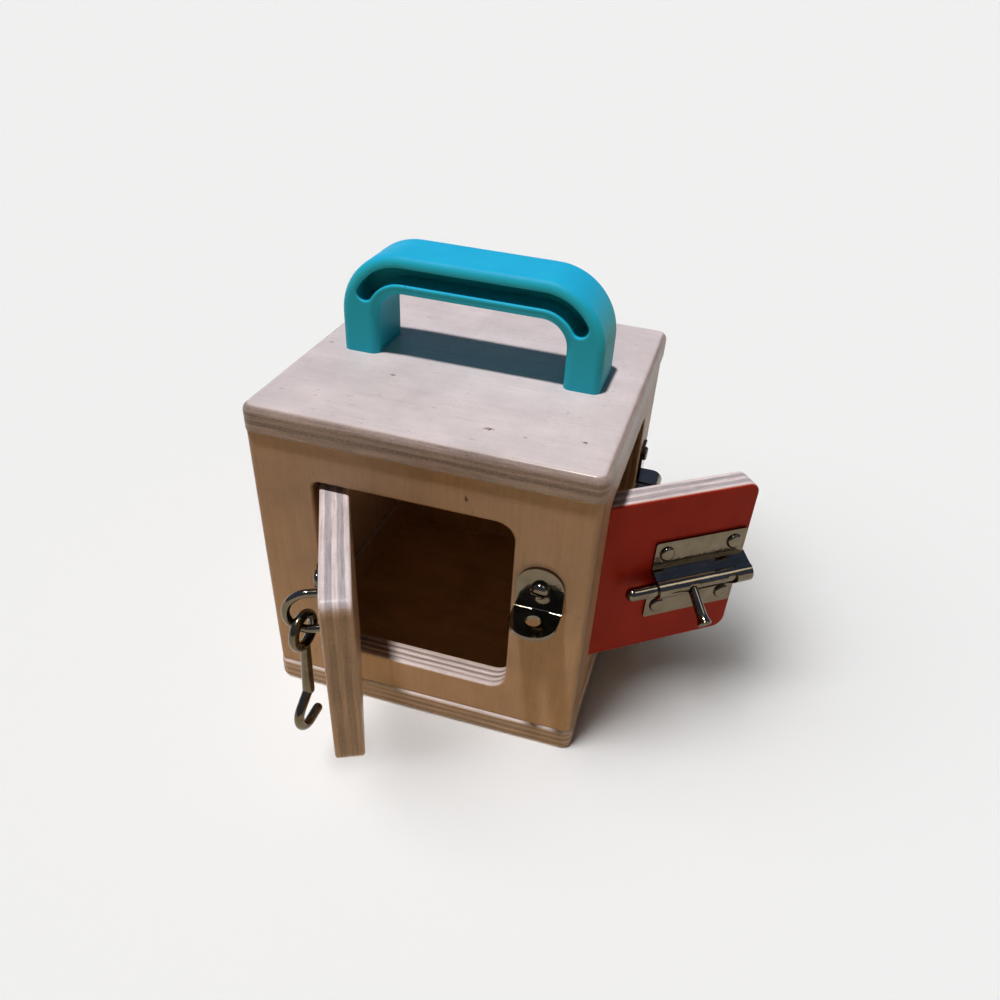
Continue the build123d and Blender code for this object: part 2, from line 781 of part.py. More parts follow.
with BuildPart() as hasp_pin:
    with BuildSketch(pin_plane(hasp_bottom)):
        Circle(hasp_pin_radius)
    extrude(amount=hasp_plate_height)
keep(hasp_pin.part, "hasp_pin")

strap_back = hasp_knuckle_radius - hasp_sheet / 2
with BuildPart() as hasp_strap:
    with BuildSketch(back_skin.offset(strap_back)):
        with Locations((hasp_axis_along + hasp_knuckle_radius, mid_height)):
            Rectangle(
                hasp_strap_length - hasp_knuckle_radius, hasp_strap_height, align=(Align.MIN, Align.CENTER)
            )
        fillet(vertices().group_by(Axis.X)[-1], hasp_strap_height / 2 - fit)
        fillet(vertices().group_by(Axis.X)[0], hasp_corner)
        with Locations((hasp_axis_along, mid_height)):
            Rectangle(2 * hasp_knuckle_radius, hasp_knuckle_height, align=(Align.MIN, Align.CENTER))
        with Locations((hasp_axis_along + hasp_slot_along, mid_height)):
            SlotOverall(hasp_slot_length, hasp_slot_height, mode=Mode.SUBTRACT)
    extrude(amount=hasp_sheet)
    with BuildSketch(pin_plane(strap_bottom)):
        Circle(hasp_knuckle_radius)
        Circle(hasp_pin_radius + fit, mode=Mode.SUBTRACT)
    extrude(amount=hasp_knuckle_height)
    with BuildSketch(pin_plane(strap_bottom)):
        Circle(hasp_pin_radius + fit)
    extrude(amount=hasp_knuckle_height, mode=Mode.SUBTRACT)
keep(hasp_strap.part, "hasp_strap")
hasp_screws = screws(
    back_skin.offset(hasp_sheet),
    hasp_spots,
    bolt_head_radius,
    bolt_head,
    screw_radius,
    screw_depth + hasp_sheet,
)
keep(hasp_screws, "hasp_screws")

# Turning knob of the hasp, on its plate on the back wall
back_wall = wall_plane(2)
with BuildPart() as knob_plate:
    with BuildSketch(back_wall.offset(body_half)):
        with Locations((turn_side, mid_height)):
            SlotOverall(knob_plate_height, knob_plate_width, rotation=quarter_turn)
            Circle(turn_neck_radius + fit, mode=Mode.SUBTRACT)
        with Locations(*turn_spots):
            Circle(pilot, mode=Mode.SUBTRACT)
    extrude(amount=knob_plate_sheet)
keep(knob_plate.part, "knob_plate")
head_back = strap_back + hasp_sheet + turn_head_lift
with BuildPart() as turn_knob:
    with BuildSketch(back_wall.offset(body_half + fit)):
        with Locations((turn_side, mid_height)):
            Circle(turn_neck_radius)
    extrude(amount=head_back + turn_head_height / 2)
    with BuildSketch(back_wall.offset(body_half + head_back)):
        with Locations((turn_side, mid_height)):
            SlotOverall(turn_head_length, turn_head_width)
    extrude(amount=turn_head_height)
    crown = faces().sort_by(upright(back_wall))[-1]
    fillet(crown.edges(), turn_head_round)
keep(turn_knob.part, "turn_knob")
knob_plate_screws = screws(
    back_wall.offset(body_half + knob_plate_sheet),
    turn_spots,
    bolt_head_radius,
    bolt_head,
    screw_radius,
    screw_depth + knob_plate_sheet,
)
keep(knob_plate_screws, "knob_plate_screws")
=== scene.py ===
import bpy
import math
from mathutils import Matrix, Vector


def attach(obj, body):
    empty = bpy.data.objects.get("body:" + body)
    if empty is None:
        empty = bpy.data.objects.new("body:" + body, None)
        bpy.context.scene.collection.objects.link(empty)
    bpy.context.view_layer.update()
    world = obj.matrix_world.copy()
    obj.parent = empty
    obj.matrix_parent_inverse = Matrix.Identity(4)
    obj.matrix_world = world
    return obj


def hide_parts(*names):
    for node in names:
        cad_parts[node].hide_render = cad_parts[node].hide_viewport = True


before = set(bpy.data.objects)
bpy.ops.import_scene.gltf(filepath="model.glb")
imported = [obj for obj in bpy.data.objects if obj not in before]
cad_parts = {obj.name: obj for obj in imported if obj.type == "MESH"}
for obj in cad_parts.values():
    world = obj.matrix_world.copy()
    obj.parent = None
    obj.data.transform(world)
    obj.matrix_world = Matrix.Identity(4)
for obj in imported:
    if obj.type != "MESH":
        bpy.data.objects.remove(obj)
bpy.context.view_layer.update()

MM = 0.001
PER_MM = (1 / MM,) * 3  # mapping scale that turns object coordinates into mm
UP = Vector((0, 0, 1))
FRONT = Vector((0, -1, 0))
RIGHT = Vector((1, 0, 0))
UNDER, OVER, MIXED = 6, 7, 2  # a mix node's two colour inputs and its colour output


def linear(code):
    """An sRGB hex colour as linear values."""
    parts = [int(code[i : i + 2], 16) / 255 for i in (1, 3, 5)]
    return [c / 12.92 if c <= 0.04045 else ((c + 0.055) / 1.055) ** 2.4 for c in parts] + [1.0]


def add(tree, kind, sockets=None, stops=None, **options):
    """Adds one shader node with its options, its socket values or links, and a ramp's stops."""
    made = tree.nodes.new("ShaderNode" + kind)
    for name, value in options.items():
        setattr(made, name, value)
    for name, value in (sockets or {}).items():
        if isinstance(value, bpy.types.NodeSocket):
            tree.links.new(value, made.inputs[name])
        else:
            made.inputs[name].default_value = value
    if stops:
        ramp = made.color_ramp
        while len(ramp.elements) < len(stops):
            ramp.elements.new(1.0)
        for element, (place, tone) in zip(ramp.elements, stops):
            element.position = place
            element.color = linear(tone) if isinstance(tone, str) else (tone, tone, tone, 1)
    return made


def new_material(name):
    """A node material, and the empty tree to build it in."""
    material = bpy.data.materials.new(name)
    material.use_nodes = True
    material.node_tree.nodes.clear()
    return material, material.node_tree


def surface(tree, sockets):
    """Ends a material with its surface shader."""
    shader = add(tree, "BsdfPrincipled", sockets)
    add(tree, "OutputMaterial", {"Surface": shader.outputs["BSDF"]})


def dress(names, material):
    """Gives CAD nodes one finish."""
    for name in names:
        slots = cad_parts[name].data.materials
        slots.clear()
        slots.append(material)


# Birch plywood, sanded and thinly varnished. The outer veneers are quiet, with faint long streaks
# and a few short brown flecks; every edge shows its plies, the cross bands darker and speckled with
# end grain. Upward faces are painted pale and greyish pink, a painted highlight standing in for
# light from above, while upright ones keep their tan; the unfinished inside is a deeper brown.
HALF_SHEET = 6.0  # mm, half of the 12 mm sheet
WAVE = 0.8  # mm that the plies stray from flat
FACE_SKIN = (5.6, 5.9)  # mm from the middle of the sheet, where its face begins
WORN_LINE, PAINT_EDGE = (5.2, 5.4), (5.6, 5.85)  # likewise, on a painted door
PAINT_WANDER = 0.35  # mm that the edge of the paint strays
HALF_INSIDE = 63.0  # mm from the middle of the box to its inside faces

# Plies from a sheet's inner face to its outer one: a place through it, and 1 for a cross band
DOOR_PLIES = [(0.0, 0.0), (0.185, 0.0), (0.205, 1.0), (0.405, 1.0), (0.425, 0.0)]
DOOR_PLIES += [(1.0 - place, value) for place, value in reversed(DOOR_PLIES)]
WALL_PLIES = [(0.0, 0.1), (0.16, 0.1), (0.22, 1.0), (0.29, 1.0), (0.36, 0.0), (0.43, 0.0)]
WALL_PLIES += [(0.5, 1.0), (0.56, 1.0), (0.64, 0.0), (0.71, 0.0), (0.78, 1.0), (0.85, 0.2)]
WALL_PLIES += [(1.0, 0.0)]
TOP_PLIES = [(0.0, 0.3), (0.04, 0.7), (0.3, 0.5), (0.36, 1.0), (0.47, 1.0), (0.54, 0.5)]
TOP_PLIES += [(0.68, 0.8), (0.8, 0.55), (0.93, 0.65), (0.975, 0.2)]
SAWN = [(0.0, 0.0), (0.03, 0.0), (0.06, 1.0), (0.94, 1.0), (0.97, 0.0)]  # 1 on edges, 0 on faces

# Noises over a board: how fine per mm along its grain, across it and through the sheet, then
# detail, roughness and distortion
BOARD_NOISES = {
    "wave": ((0.09, 0.09, 0.09), 4.0, 0.5, 0.0),
    "streak": ((0.02, 0.7, 0.7), 5.0, 0.6, 0.5),  # about 1 mm wide along the veneers
    "end_grain": ((1.35, 0.075, 1.35), 5.0, 0.75, 0.0),  # the other way, in the cross bands
    "figure": ((0.05, 0.05, 0.05), 7.0, 0.6, 0.0),  # broad clouds
    "flow": ((0.012, 0.06, 0.06), 3.0, 0.5, 0.8),  # long flow lines
    "layer": ((0.03, 0.03, 0.95), 3.0, 0.6, 0.0),  # growth of about 0.4 mm, drawn at 1 mm to show
    "grime": ((0.06, 0.06, 0.9), 7.0, 0.75, 0.0),  # streaks some 15 mm long
    "fleck": ((0.2, 0.9, 0.9), 3.0, 0.6, 0.0),  # about 2 mm long
    "ragged": ((1.1, 1.1, 1.1), 3.0, 0.5, 0.0),  # outlines of knots and of the paint
    "paint": ((0.05, 0.05, 0.05), 4.0, 0.6, 0.0),
}

# Tones of a veneer's streaks, and of what lies on the wood
TAN = [(0.2, "#AB8A6F"), (0.5, "#B19178"), (0.8, "#B6977F")]
# painted highlight: paler greyish pink veneer tones, laid on upward faces as if lit from above
PAINTED_LIT_VENEER = [(0.2, "#DDCECE"), (0.5, "#E5D6D6"), (0.8, "#EBDEDE")]
UNFINISHED = [(0.2, "#C69F6E"), (0.5, "#CFA878"), (0.8, "#D6B083")]
RED = [(0.3, "#98241A"), (0.7, "#A52C20")]
WORN_RED, SOOT = linear("#C98A78"), linear("#5A4A42")
FLECK, KNOT = linear("#6E5240"), linear("#5A4030")

# Kinds of panel. The bands are the tones of the cross bands in tan and in the paler painted-light
# wood. The painted top light: how far upright and upward faces are painted paler, a painted
# highlight standing in for light from above, and the least and greatest rise of a face between
# which that changes. gleam: how much varnish is left.
TOP = {
    "plies": TOP_PLIES,
    "tan_bands": [(0.3, "#584540"), (0.5, "#80695F"), (0.72, "#9A857B")],
    "painted_lit_bands": [(0.3, "#7C6F6C"), (0.5, "#9B8D8A"), (0.72, "#AFA19E")],
    "painted_top_light": (0.4, 1.0, 0.8, 0.985),
    "gleam": 0.14,
}
WALL = {
    "plies": WALL_PLIES,
    "tan_bands": [(0.3, "#7D6350"), (0.5, "#917459"), (0.72, "#A2866A")],
    "painted_lit_bands": [(0.3, "#7C6B64"), (0.5, "#93827A"), (0.72, "#A89790")],
    "painted_top_light": (0.0, 0.75, 0.2, 0.75),
    "gleam": 0.0,
}
BASE = {**WALL, "painted_top_light": (0.1, 1.0, 0.15, 0.6), "gleam": 0.35}
LEAF = {
    "plies": DOOR_PLIES,
    "tan_bands": [(0.3, "#83664E"), (0.5, "#9A7D62"), (0.72, "#AE9276")],
    "painted_lit_bands": [(0.3, "#A99FA2"), (0.5, "#BAB0B4"), (0.72, "#C9C0C3")],
    "painted_top_light": (0.05, 0.9, 0.3, 0.8),
    "gleam": 0.0,
}
FRONT_LEAF = {**LEAF, "gleam": 0.2}


def inside_face(tree, axes, inside):
    """Where a panel's face looks into the box, within the walls."""
    skin = {"From Min": inside * FACE_SKIN[0], "From Max": inside * FACE_SKIN[1]}
    deep = add(tree, "MapRange", {"Value": axes["Z"], **skin}).outputs[0]
    ends = [add(tree, "Math", {0: axes[way]}, operation="ABSOLUTE").outputs[0] for way in "XY"]
    reach = add(tree, "Math", {0: ends[0], 1: ends[1]}, operation="MAXIMUM").outputs[0]
    walls = {"From Min": HALF_INSIDE + 1.0, "From Max": HALF_INSIDE}
    between = add(tree, "MapRange", {"Value": reach, **walls}).outputs[0]
    return add(tree, "Math", {0: deep, 1: between}, operation="MULTIPLY").outputs[0]


def knot(tree, board, ragged, along, across, size):
    """Where one small dark knot is, longer along the grain, with a ragged outline."""
    length = 1.6
    wander, core, rim = 4.0 * size, 2.3 * size, 3.0 * size
    squeeze = {0: board, 1: (1 / length, 1.0, 0.0)}
    level = add(tree, "VectorMath", squeeze, operation="MULTIPLY").outputs[0]
    place = (along / length, across, 0.0)
    gap = add(tree, "VectorMath", {0: level, 1: place}, operation="DISTANCE").outputs["Value"]
    strayed = {0: ragged, 1: wander, 2: gap}
    outline = add(tree, "Math", strayed, operation="MULTIPLY_ADD").outputs[0]
    edge = {"From Min": core, "From Max": rim, "To Min": 0.95, "To Max": 0.0}
    return add(tree, "MapRange", {"Value": outline, **edge}).outputs[0]


def paint_coats(tree, noise, axes, tones):
    """Satin paint on the outer face, worn to a pinkish line along the arris."""
    paint = add(tree, "ValToRGB", {"Fac": noise["paint"]}, stops=tones).outputs["Color"]
    strayed = {0: noise["ragged"], 1: PAINT_WANDER, 2: axes["Z"]}
    brink = add(tree, "Math", strayed, operation="MULTIPLY_ADD").outputs[0]
    coats = []
    for (start, end), tone in ((WORN_LINE, WORN_RED), (PAINT_EDGE, paint)):
        cover = add(tree, "MapRange", {"Value": brink, "From Min": start, "From Max": end})
        coats.append(("MIX", cover.outputs[0], tone))
    return coats


def birch_plywood(name, kind, middle, through, grain, shift, inside=0, marks=(), paint=None):
    """Plywood of one panel. through is the way to its outer face, shift picks its own stretch of
    figure, and inside is the side of the sheet, 1 or -1, that looks into the box."""
    material, tree = new_material(name)
    spot = add(tree, "TexCoord").outputs
    turn = Matrix((grain, through.cross(grain), through))
    lie = {"Rotation": turn.to_euler(), "Scale": PER_MM, "Location": -(turn @ (middle / MM))}
    board = add(tree, "Mapping", {"Vector": spot["Object"], **lie}).outputs[0]
    axes = add(tree, "SeparateXYZ", {"Vector": board}).outputs
    moved = add(tree, "VectorMath", {0: board, 1: shift}, operation="ADD").outputs[0]
    noise = {}
    for use, (fineness, detail, roughness, distortion) in BOARD_NOISES.items():
        drawn = add(tree, "Mapping", {"Vector": moved, "Scale": fineness}).outputs[0]
        looks = {"Scale": 1.0, "Detail": detail, "Roughness": roughness, "Distortion": distortion}
        noise[use] = add(tree, "TexNoise", {"Vector": drawn, **looks}).outputs["Fac"]

    # place through the sheet, waved a little as real plies are
    strayed = {0: noise["wave"], 1: WAVE, 2: axes["Z"]}
    waved = add(tree, "Math", strayed, operation="MULTIPLY_ADD").outputs[0]
    sheet = {"From Min": WAVE / 2 - HALF_SHEET, "From Max": WAVE / 2 + HALF_SHEET}
    depth = add(tree, "MapRange", {"Value": waved, **sheet}).outputs[0]
    band = add(tree, "ValToRGB", {"Fac": depth}, stops=kind["plies"]).outputs["Color"]
    sawn = add(tree, "ValToRGB", {"Fac": depth}, stops=SAWN).outputs["Color"]

    # the plies in tan and in paler painted-light wood, and how much each face is painted paler
    woods = []
    for veneer, bands in ((TAN, kind["tan_bands"]), (PAINTED_LIT_VENEER, kind["painted_lit_bands"])):
        outer = add(tree, "ValToRGB", {"Fac": noise["streak"]}, stops=veneer).outputs["Color"]
        inner = add(tree, "ValToRGB", {"Fac": noise["end_grain"]}, stops=bands).outputs["Color"]
        plies = {"Factor": band, UNDER: outer, OVER: inner}
        woods.append(add(tree, "Mix", plies, data_type="RGBA").outputs[MIXED])
    upright, upward, least, greatest = kind["painted_top_light"]
    rise = add(tree, "SeparateXYZ", {"Vector": spot["Normal"]}).outputs["Z"]
    lit_by_rise = {"From Min": least, "From Max": greatest, "To Min": upright, "To Max": upward}
    # painted light: a face is painted paler the more it faces up, standing in for light from above
    painted_top_light = add(tree, "MapRange", {"Value": rise, **lit_by_rise}, interpolation_type="SMOOTHSTEP")

    # what lies over the tan wood, in order
    # the first coat is the painted highlight: the paler wood laid on faces that look up
    colour, painted_lit_wood = woods
    coats = [("MIX", painted_top_light.outputs[0], painted_lit_wood)]
    if inside:
        bare = add(tree, "ValToRGB", {"Fac": noise["streak"]}, stops=UNFINISHED).outputs["Color"]
        coats.append(("MIX", inside_face(tree, axes, inside), bare))
    shades = [("figure", 0.88, 1.06, 1.0), ("flow", 0.94, 1.04, 1.0), ("layer", 0.78, 1.14, sawn)]
    for use, dark, light, where in shades:
        strength = {"From Min": 0.3, "From Max": 0.7, "To Min": dark, "To Max": light}
        shade = add(tree, "MapRange", {"Value": noise[use], **strength}).outputs[0]
        coats.append(("MULTIPLY", where, shade))
    patches = {"Value": noise["grime"], "From Min": 0.5, "From Max": 0.66, "To Max": 0.34}
    rubbed = add(tree, "MapRange", patches).outputs[0]
    grime = add(tree, "Math", {0: rubbed, 1: sawn}, operation="MULTIPLY").outputs[0]
    dashes = {"Value": noise["fleck"], "From Min": 0.67, "From Max": 0.73, "To Max": 0.55}
    flecks = add(tree, "MapRange", dashes).outputs[0]
    coats += [("MIX", grime, SOOT), ("MIX", flecks, FLECK)]
    coats += [("MIX", knot(tree, board, noise["ragged"], *mark), KNOT) for mark in marks]
    if paint:
        coats += paint_coats(tree, noise, axes, paint)
    for blend, cover, tone in coats:
        laid = {"Factor": cover, UNDER: colour, OVER: tone}
        colour = add(tree, "Mix", laid, data_type="RGBA", blend_type=blend).outputs[MIXED]

    wear = {"Value": noise["figure"], "To Min": 0.3, "To Max": 0.46}
    fibres = {"Factor": band, "A": noise["streak"], "B": noise["end_grain"]}
    pores = add(tree, "Mix", fibres).outputs[0]
    bump = add(tree, "Bump", {"Height": pores, "Strength": 0.5, "Distance": 0.3 * MM})
    finish = {
        "Base Color": colour,
        "Roughness": add(tree, "MapRange", wear).outputs[0],
        "Normal": bump.outputs[0],
        "Specular IOR Level": 0.08 if paint else 0.2,
        "Coat Weight": kind["gleam"],
        "Coat Roughness": 0.2,
    }
    surface(tree, finish)
    return material


# The box, in mm and degrees
TOP_HEIGHT, BASE_HEIGHT = 145.0, 6.0  # to the middle of each sheet
HALF_BODY = 68.0  # from the middle of the box to the middle of a wall's sheet
WALL_MIDDLE = 75.5  # from the floor to the middle of a wall
PIVOT = -39.45  # along a wall to its door's pins
DOORS = {"front": (0, 63.6), "right": (1, 52.7), "back": (2, 0.0), "left": (3, 0.0)}

# Knots: along the grain, across it, and size
TOP_MARKS = [(23.1, -55.5, 1.1), (61.0, -51.5, 0.8), (38.4, -56.8, 0.6)]
TOP_MARKS += [(-67.9, -6.3, 0.5), (-29.5, -26.6, 0.7)]
WALL_MARKS = {"front": [(53.2, -20.5, 1.0)]}

top_place = (UP * TOP_HEIGHT * MM, UP, RIGHT, (0, 0, 0))
base_place = (UP * BASE_HEIGHT * MM, UP, RIGHT, (40, 310, 7))
dress(["top_panel"], birch_plywood("birch_plywood_top", TOP, *top_place, -1, TOP_MARKS))
dress(["base_panel"], birch_plywood("birch_plywood_base", BASE, *base_place, 1))
leaf_ways = {}  # each door's pivot on the floor, the way along it and the way out of it
for side, (quarter_turns, opened) in DOORS.items():
    spin = Matrix.Rotation(math.radians(90 * quarter_turns), 3, "Z")
    swing = Matrix.Rotation(math.radians(-opened), 3, "Z")
    right, out = spin @ RIGHT, spin @ FRONT
    wall_spot = out * HALF_BODY
    pivot = right * PIVOT + wall_spot
    leaf_ways[side] = (pivot, swing @ right, swing @ out)
    shift = Vector((90 * quarter_turns + 13, 170 * quarter_turns + 5, 20 * quarter_turns))
    wall_place = ((wall_spot + UP * WALL_MIDDLE) * MM, out, UP, shift)
    marks = WALL_MARKS.get(side, ())
    wall = birch_plywood(f"birch_plywood_{side}_wall", WALL, *wall_place, -1, marks)
    dress([f"{side}_panel"], wall)
    paint = RED if side == "right" else None
    name = "red_painted_plywood_door" if paint else f"birch_plywood_{side}_door"
    kind = FRONT_LEAF if side == "front" else LEAF
    leaf_shift = shift + Vector((500, 37, 11))
    leaf_place = ((pivot + UP * WALL_MIDDLE) * MM, swing @ out, UP, leaf_shift)
    dress([f"{side}_door"], birch_plywood(name, kind, *leaf_place, paint=paint))


# Moulded polypropylene: bright cyan, satin from a lightly sparked mould, with faint scuffs and a
# few dirt specks. Its upright and lower faces are painted greener, painted light standing in for
# warm light bounced onto them, and where the handle hides itself, as in the finger recesses, a
# greener duller tone is laid as painted shade.
def blue_plastic():
    material, tree = new_material("moulded_blue_polypropylene")
    spot = add(tree, "TexCoord").outputs
    size = add(tree, "Mapping", {"Vector": spot["Object"], "Scale": PER_MM}).outputs[0]
    clouds = add(tree, "TexNoise", {"Vector": size, "Scale": 0.05, "Detail": 3.0}).outputs["Fac"]
    blues = [(0.3, "#1CAEDA"), (0.7, "#22B6E0")]
    colour = add(tree, "ValToRGB", {"Fac": clouds}, stops=blues).outputs["Color"]
    rise = add(tree, "SeparateXYZ", {"Vector": spot["Normal"]}).outputs["Z"]
    # painted light: upright and downward faces are painted greener, for warm bounced light
    upright = {"Value": rise, "From Min": 0.85, "From Max": 0.25}
    specks = add(tree, "TexNoise", {"Vector": size, "Scale": 0.35, "Detail": 2.0}).outputs["Fac"]
    dirt = {"Value": specks, "From Min": 0.72, "From Max": 0.8, "To Max": 0.5}
    # painted shade: a greener, duller tone where the handle occludes itself, as in the recesses
    hollow = add(tree, "AmbientOcclusion", {"Distance": 10 * MM}, samples=8, only_local=True)
    recess_painted_shade = {"Value": hollow.outputs["AO"], "From Min": 0.8, "From Max": 0.35}
    for reach, tone in ((upright, "#2CB5C9"), (dirt, "#1B5C70"), (recess_painted_shade, "#0BB0BC")):
        cover = add(tree, "MapRange", reach).outputs[0]
        laid = {"Factor": cover, UNDER: colour, OVER: linear(tone)}
        colour = add(tree, "Mix", laid, data_type="RGBA").outputs[MIXED]
    rubs = {"Vector": size, "Scale": 0.14, "Detail": 5.0, "Roughness": 0.65}
    scuff = add(tree, "TexNoise", rubs).outputs["Fac"]
    wear = {"Value": scuff, "From Min": 0.3, "From Max": 0.7, "To Min": 0.42, "To Max": 0.52}
    # sparked texture of about 0.3 mm, drawn at 0.7 mm so that it shows
    spark = add(tree, "TexNoise", {"Vector": size, "Scale": 1.4, "Detail": 2.0}).outputs["Fac"]
    bump = add(tree, "Bump", {"Height": spark, "Strength": 0.3, "Distance": 0.3 * MM})
    finish = {
        "Base Color": colour,
        "Roughness": add(tree, "MapRange", wear).outputs[0],
        "Normal": bump.outputs[0],
        "IOR": 1.49,
        "Specular IOR Level": 0.12,
    }
    surface(tree, finish)
    return material


dress(["carry_handle"], blue_plastic())


# Nickel plate on pressed or turned steel, greyed by age: a nearly clear mirror, a little warm, with
# shallow dents and hairlines.
def nickel_plate(name, dark, light, smooth, dull):
    material, tree = new_material(name)
    spot = add(tree, "TexCoord").outputs["Object"]
    size = add(tree, "Mapping", {"Vector": spot, "Scale": PER_MM}).outputs[0]
    clouds = {"Vector": size, "Scale": 0.13, "Detail": 5.0, "Roughness": 0.6}
    tarnish = add(tree, "TexNoise", clouds).outputs["Fac"]
    greys = [(0.3, dark), (0.65, light)]
    colour = add(tree, "ValToRGB", {"Fac": tarnish}, stops=greys).outputs["Color"]
    polish = {"From Min": 0.35, "From Max": 0.7, "To Min": smooth, "To Max": dull}
    rough = add(tree, "MapRange", {"Value": tarnish, **polish}).outputs[0]
    # dents some 3 mm across from the press and from use, under the hairlines
    dents = add(tree, "TexNoise", {"Vector": size, "Scale": 0.32, "Detail": 2.0}).outputs["Fac"]
    dented = add(tree, "Bump", {"Height": dents, "Strength": 0.18, "Distance": 0.4 * MM})
    brushed = {"Vector": size, "Scale": (0.08, 1.6, 1.6), "Rotation": (0.4, 0.7, 0.3)}
    strokes = add(tree, "Mapping", brushed).outputs[0]
    fine = {"Vector": strokes, "Scale": 1.0, "Detail": 4.0, "Roughness": 0.7}
    hairs = add(tree, "TexNoise", fine).outputs["Fac"]
    relief = {"Height": hairs, "Strength": 0.06, "Distance": 0.1 * MM}
    bump = add(tree, "Bump", {**relief, "Normal": dented.outputs[0]}).outputs[0]
    surface(tree, {"Base Color": colour, "Roughness": rough, "Normal": bump, "Metallic": 1.0})
    return material


bright_nickel = nickel_plate("bright_nickel_plate", "#675B48", "#786B58", 0.07, 0.15)
worn_nickel = nickel_plate("worn_nickel_plate", "#5A4F3D", "#73664F", 0.12, 0.22)
drawn_steel = nickel_plate("drawn_steel", "#7C7A76", "#96948F", 0.28, 0.4)
hook_parts = ["hook_catch", "hook_catch_screw", "hook_staple", "staple_plate", "staple_screws"]
bolt_parts = ["bolt_plate", "bolt_plate_screws", "bolt_rod", "bolt_knob"]
keeper_parts = ["bolt_keeper", "keeper_screws"]
button_parts = ["turn_button", "turn_button_screw", "button_washer"]
hasp_parts = ["hasp_plate", "hasp_strap", "hasp_screws"]
knob_parts = ["knob_plate", "knob_plate_screws", "turn_knob"]
for parts in (hook_parts, bolt_parts, keeper_parts, button_parts, hasp_parts, knob_parts):
    dress(parts, bright_nickel)
dress(["cabin_hook"], worn_nickel)
dress(["handle_screws", "hasp_pin"] + [f"{side}_door_pins" for side in DOORS], drawn_steel)


# Natural nylon: milky white, slightly waxy, with clouds some 3 mm across.
def nylon():
    material, tree = new_material("natural_nylon")
    spot = add(tree, "TexCoord").outputs["Object"]
    clouds = add(tree, "TexNoise", {"Vector": spot, "Scale": 0.3 / MM, "Detail": 2.0})
    whites = [(0.3, "#DAD6CA"), (0.7, "#E6E3DA")]
    colour = add(tree, "ValToRGB", {"Fac": clouds.outputs["Fac"]}, stops=whites)
    surface(tree, {"Base Color": colour.outputs["Color"], "Roughness": 0.45})
    return material


dress(["pivot_washers"], nylon())


# Slotted screws: a domed head with a sawn slot, and a plain shank
DOME = 0.85  # share of the head's height that is rounded
SLOT_WIDTH, SLOT_DEPTH = 0.28, 0.45  # shares of the head's radius and height
WORN_EDGE = 0.12 * MM
FLAT_END = 0.9  # least rise of the faces at a cylinder's ends
NEXT_SLOT = 57  # degrees from one screw's slot to the next one's


def pick_ends(piece, way):
    """Selects, for editing, only the faces that look up (1) or down (-1)."""
    bpy.ops.object.mode_set(mode="EDIT")
    bpy.ops.mesh.select_all(action="DESELECT")
    bpy.ops.object.mode_set(mode="OBJECT")
    for face in piece.data.polygons:
        face.select = way * face.normal.z > FLAT_END
    bpy.ops.object.mode_set(mode="EDIT")


def slotted_screw(radius, height, shank, depth):
    """One screw, modelled upright with the head's seat at the origin."""
    bpy.ops.object.select_all(action="DESELECT")
    bpy.ops.mesh.primitive_cylinder_add(
        vertices=48, radius=radius, depth=height, location=(0, 0, height / 2)
    )
    screw = bpy.context.object
    pick_ends(screw, 1)
    bpy.ops.mesh.bevel(offset=DOME * height, segments=8, profile=0.5, affect="EDGES")
    pick_ends(screw, -1)
    bpy.ops.mesh.inset(thickness=radius - shank)
    bpy.ops.mesh.extrude_region_move(TRANSFORM_OT_translate={"value": (0, 0, -depth)})
    bpy.ops.object.mode_set(mode="OBJECT")
    bpy.ops.object.transform_apply(location=True, rotation=True, scale=True)
    bpy.ops.mesh.primitive_cube_add(size=1.0, location=(0, 0, height))
    saw = bpy.context.object
    saw.scale = (3 * radius, SLOT_WIDTH * radius, 2 * SLOT_DEPTH * height)
    bpy.ops.object.transform_apply(location=True, rotation=True, scale=True)
    bpy.ops.object.select_all(action="DESELECT")
    screw.select_set(True)
    bpy.context.view_layer.objects.active = screw
    cut = screw.modifiers.new("slot", "BOOLEAN")
    cut.object = saw
    cut.operation = "DIFFERENCE"
    bpy.ops.object.modifier_apply(modifier=cut.name)
    edge = screw.modifiers.new("edge", "BEVEL")
    edge.width = WORN_EDGE
    edge.segments = 2
    edge.limit_method = "ANGLE"
    edge.angle_limit = math.radians(50)
    bpy.ops.object.modifier_apply(modifier=edge.name)
    bpy.ops.object.shade_smooth_by_angle(angle=math.radians(40))
    bpy.data.objects.remove(saw)
    return screw


def set_screws(node, body, pattern, spots, out, lean):
    """Copies a screw to each spot of a node, its slot leaning from the level, and joins them."""
    level = UP.cross(out).normalized()
    stand = Matrix((level, out.cross(level), out)).transposed().to_4x4()
    copies = []
    for number, spot in enumerate(spots):
        copy = pattern.copy()
        copy.data = pattern.data.copy()
        bpy.context.scene.collection.objects.link(copy)
        spin = Matrix.Rotation(math.radians(lean + NEXT_SLOT * number), 4, "Z")
        copy.matrix_world = Matrix.Translation(spot * MM) @ stand @ spin
        copies.append(copy)
    bpy.ops.object.select_all(action="DESELECT")
    for copy in copies:
        copy.select_set(True)
    bpy.context.view_layer.objects.active = copies[0]
    if len(copies) > 1:
        bpy.ops.object.join()
    bpy.ops.object.transform_apply(location=True, rotation=True, scale=True)
    piece = bpy.context.object
    piece.name = f"{node}_slotted"
    piece.data.materials.clear()
    piece.data.materials.append(bright_nickel)
    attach(piece, body)
    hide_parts(node)


def pair(spot, spread):
    """Two spots, one over the other, each that far from the middle."""
    return [spot - UP * spread, spot + UP * spread]


# head radius, head height, shank radius, shank length
tall = slotted_screw(4.0 * MM, 3.4 * MM, 1.6 * MM, 10.8 * MM)
stout = slotted_screw(4.0 * MM, 3.4 * MM, 2.2 * MM, 13.1 * MM)
low = slotted_screw(3.6 * MM, 1.5 * MM, 1.6 * MM, 10.5 * MM)

